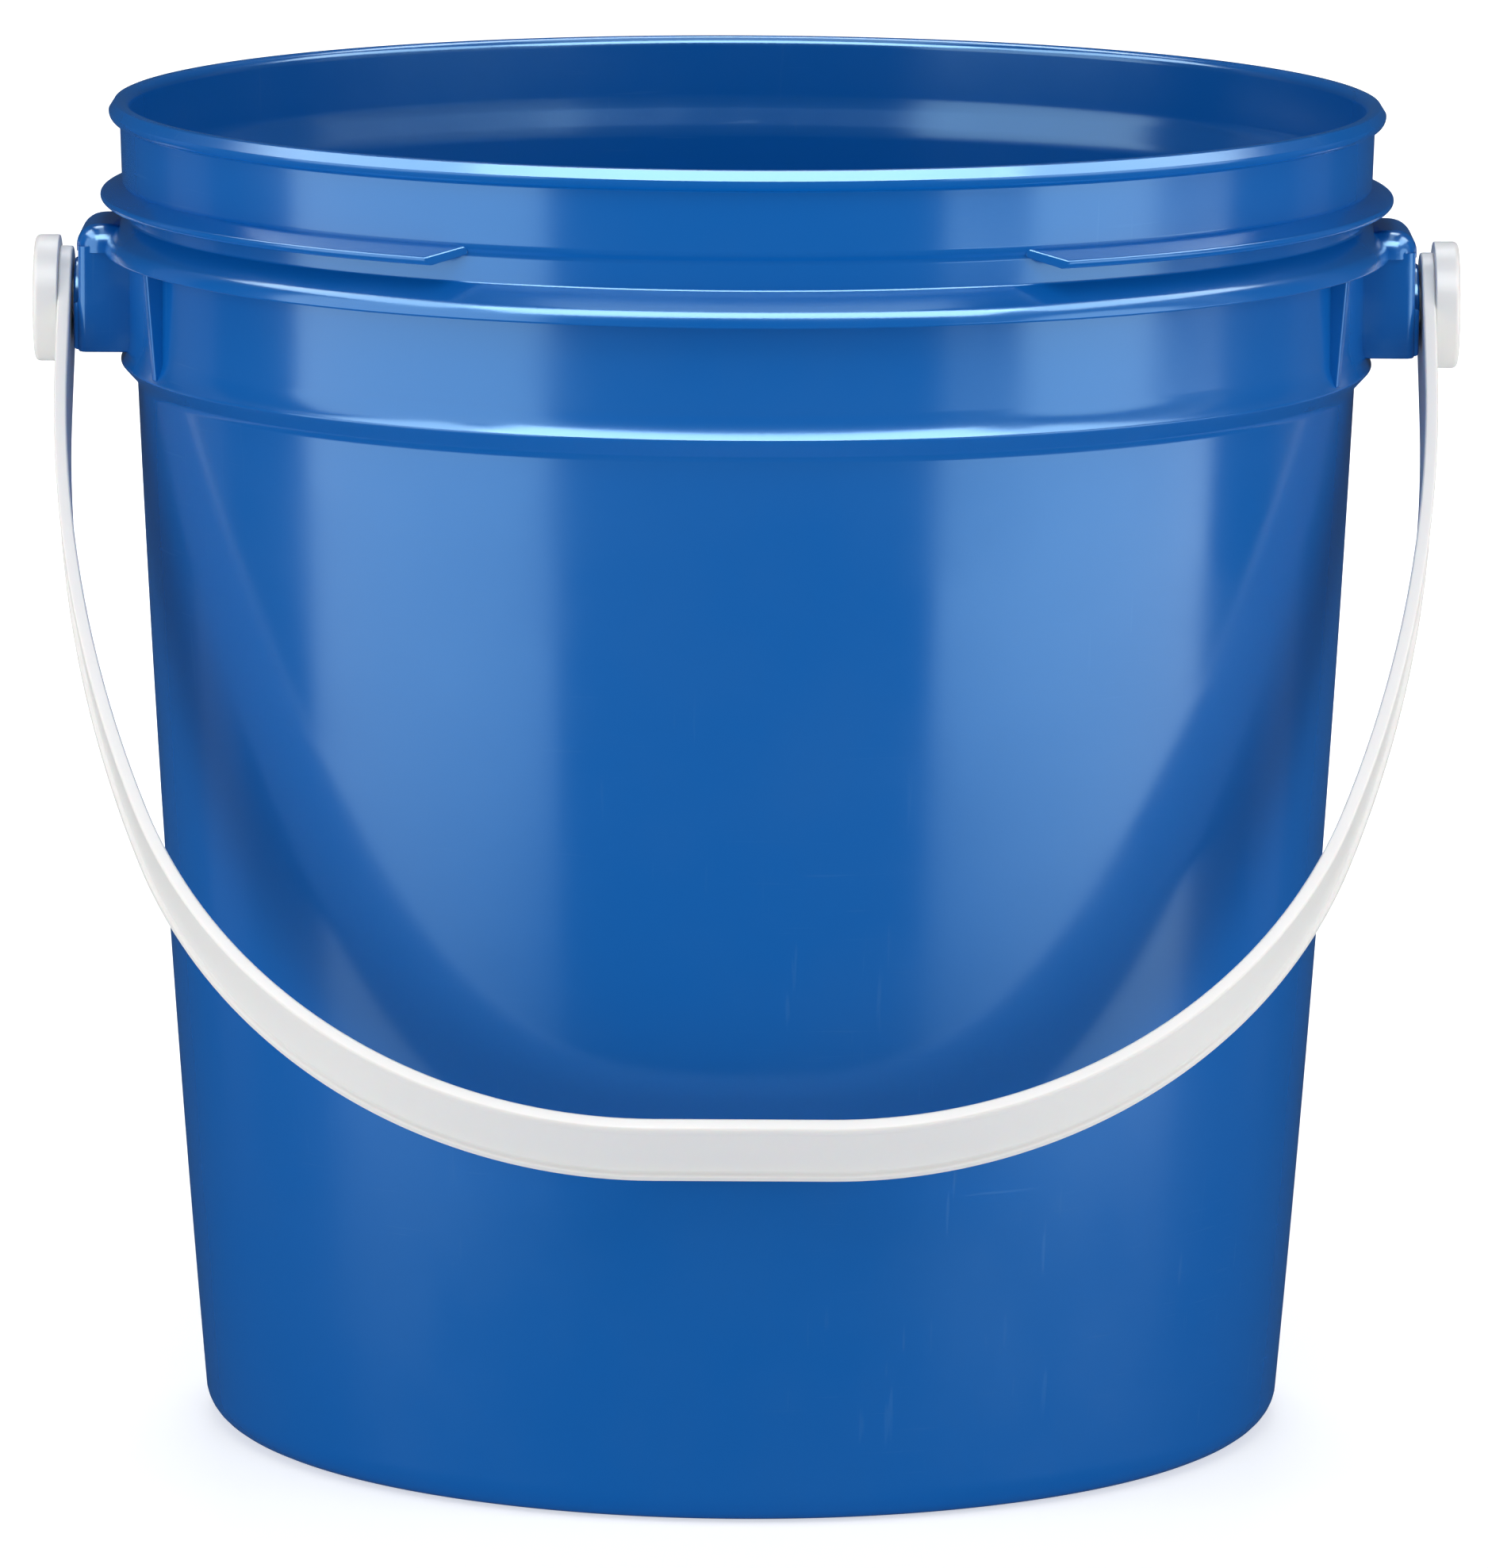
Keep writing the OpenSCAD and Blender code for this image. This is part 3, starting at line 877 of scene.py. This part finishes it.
# %% [markdown]
# ## Floor
# The bucket stands on a plain white floor. The floor stays out of reflections and casts no shadow, so the
# lamps that reach below it still show in the wall and the blue stays deep down to the foot. It glows by
# itself, a painted light that keeps it as white as the backdrop, and a little less round the bucket. That
# weaker glow is painted shade, which adds to the real soft shadow that the lamps cast there.

# %% Lay the floor
floor_size = 14
# The weaker glow at the bucket is painted shade; the glow that grows outwards is painted light.
glow_at_bucket, glow_gain = 0.56, 0.44
glow_from, glow_to = 0.1, 0.8


def floor_white():
    """A matt white that glows by itself, more and more from the bucket outwards: painted shade round the
    bucket.
    """
    material = bpy.data.materials.new("floor_white")
    material.use_nodes = True
    tree = material.node_tree
    shader = tree.nodes["Principled BSDF"]
    shader.inputs["Base Color"].default_value = (0.6, 0.6, 0.6, 1)
    shader.inputs["Roughness"].default_value = 1
    shader.inputs["Specular IOR Level"].default_value = 0
    shader.inputs["Emission Color"].default_value = (1, 1, 1, 1)
    place = add(tree, "ShaderNodeTexCoord").outputs["Object"]
    away = add(tree, "ShaderNodeVectorMath", {0: place}, operation="LENGTH").outputs["Value"]
    gained = calculate(tree, "MULTIPLY", ramp_between(tree, away, glow_from, glow_to), glow_gain)
    # The glow is lowest round the bucket: painted shade that darkens the floor there, on top of the lamps'
    # real soft shadow.
    glow = calculate(tree, "ADD", gained, glow_at_bucket)
    tree.links.new(glow, shader.inputs["Emission Strength"])
    return material


bpy.ops.mesh.primitive_plane_add(size=floor_size)
floor = bpy.context.object
floor.name = "floor"
floor.visible_glossy = False
floor.visible_shadow = False
dress(floor, floor_white())
floor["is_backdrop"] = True
print("a floor of", floor_size, "m")

# %% [markdown]
# ## Light
# Reflections and matt light come from different lamps, so that each can be set without the other. The sky
# comes first. It is white where the camera sees it, pale for matt light and nearly black in reflections, so
# that only the lamps draw highlights.

# %% Make the sky
def studio_sky():
    """White for the camera, pale for matt light and almost black for reflections."""
    sky = bpy.data.worlds.new("studio")
    sky.use_nodes = True
    tree = sky.node_tree
    tree.nodes.clear()
    path = add(tree, "ShaderNodeLightPath")
    seen = add(tree, "ShaderNodeBackground", {"Color": (1, 1, 1, 1), "Strength": 1.0})
    matt = add(tree, "ShaderNodeBackground", {"Color": (1, 1, 1, 1), "Strength": 0.44})
    mirrored = add(tree, "ShaderNodeBackground", {"Color": (0.6, 0.8, 1, 1), "Strength": 0.06})
    unseen = add(tree, "ShaderNodeMixShader",
                 {0: path.outputs["Is Glossy Ray"], 1: matt.outputs[0], 2: mirrored.outputs[0]})
    mixed = add(tree, "ShaderNodeMixShader",
                {0: path.outputs["Is Camera Ray"], 1: unseen.outputs[0], 2: seen.outputs[0]})
    add(tree, "ShaderNodeOutputWorld", {"Surface": mixed.outputs[0]})
    return sky


bpy.context.scene.world = studio_sky()
bpy.context.scene.view_settings.view_transform = "Standard"
print("sky", bpy.context.scene.world.name)

# %% [markdown]
# Two tall soft boxes stand on either side of the camera. They leave a dark stripe between them, which is what
# shows that the wall is round. Each is built of four parts that are dimmer and dimmer downwards, so the
# stripes of light fade towards the foot, and a much weaker one behind each edges the silhouette. All of these
# only light reflections. Two broad fills in the same places give matt light and stay out of reflections.

# %% Place the soft boxes
box_distance = 1.2
# Each part has its lower and upper edge in metres and its share of the light.
fades = (("foot", -0.32, -0.26, 0.03), ("shin", -0.26, -0.2, 0.25),
         ("knee", -0.2, -0.12, 0.75), ("head", -0.12, 0.8, 1))
# Each box has the angles it stands between in degrees, counted from the camera, and its radiance.
boxes = (("left", -35, -88, 2.5), ("right", 35, 95, 2.8),
         ("back_left", -112, -128, 0.14), ("back_right", 116, 130, 0.1))
fills = (("left_fill", -35, -95), ("right_fill", 35, 95))


def lamp(name, place, towards, wide, tall, radiance, matt=True, mirrored=True):
    """A soft rectangular lamp in metres, facing a place, for matt light, for reflections or for both."""
    bpy.ops.object.light_add(type="AREA", location=place)
    light = bpy.context.object
    light.name = name
    light.rotation_euler = (Vector(towards) - Vector(place)).to_track_quat("-Z", "Y").to_euler()
    light.data.shape = "RECTANGLE"
    light.data.size, light.data.size_y = wide, tall
    light.data.energy = radiance * pi * wide * tall
    light.visible_camera = False
    light.visible_diffuse = matt
    light.visible_glossy = mirrored


def soft_box(name, from_turn, to_turn, low, high, radiance, matt=True, mirrored=True):
    """A tall soft box between two angles from the camera's side of the bucket."""
    ends = []
    for turn in (from_turn, to_turn):
        ends.append(Vector((sin(radians(turn)), -cos(radians(turn)), 0)) * box_distance)
    middle = (ends[0] + ends[1]) / 2
    middle.z = (low + high) / 2
    wide = (ends[1] - ends[0]).length
    lamp(name, middle, (0, 0, middle.z), wide, high - low, radiance, matt, mirrored)


for side, from_turn, to_turn, radiance in boxes:
    for part, low, high, share in fades:
        soft_box(f"{side}_{part}", from_turn, to_turn, low, high, radiance * share, matt=False)
for name, from_turn, to_turn in fills:
    soft_box(name, from_turn, to_turn, low=0.0, high=0.8, radiance=1.35, mirrored=False)
print(len(boxes), "soft boxes in", len(fades), "parts each, and", len(fills), "fills")

# %% [markdown]
# Panels high in front, at both sides, behind and overhead draw the bright lines along rim, lugs, flange and
# bead, and only light reflections. A key lamp high in front and one high behind give the rest of the matt
# light. It falls from above, so flange and bead shade what lies under them.

# %% Place the panels and the keys
lamp("front_panel", (0, -0.86, 1.28), (0, 0, 0.18), wide=2.2, tall=0.72, radiance=13.0, matt=False)
for side in (-1, 1):
    lamp("side_panel", (side * 1.05, -0.05, 1.15), (0, 0, 0.18), wide=1.3, tall=0.5, radiance=7.0, matt=False)
lamp("back_panel", (0, 0.65, 1.3), (0, 0, 0.18), wide=1.2, tall=0.4, radiance=8.0, matt=False)
lamp("overhead", (0, 0, 1.4), (0, 0, 0), wide=0.9, tall=0.8, radiance=2.2, matt=False)
lamp("key", (0, -0.75, 1.25), (0, 0, 0.1), wide=0.8, tall=0.6, radiance=3.0, mirrored=False)
lamp("back_key", (0, 0.8, 1.0), (0, 0, 0), wide=0.5, tall=0.4, radiance=8.0, mirrored=False)

# %% [markdown]
# ## Print the finished size
# The looks should not change the size, so the finished size is printed: the box round every piece that
# renders, in millimetres.

# %% Print the finished size
low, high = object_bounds()
print("finished", [round(x / mm, 1) for x in high - low])
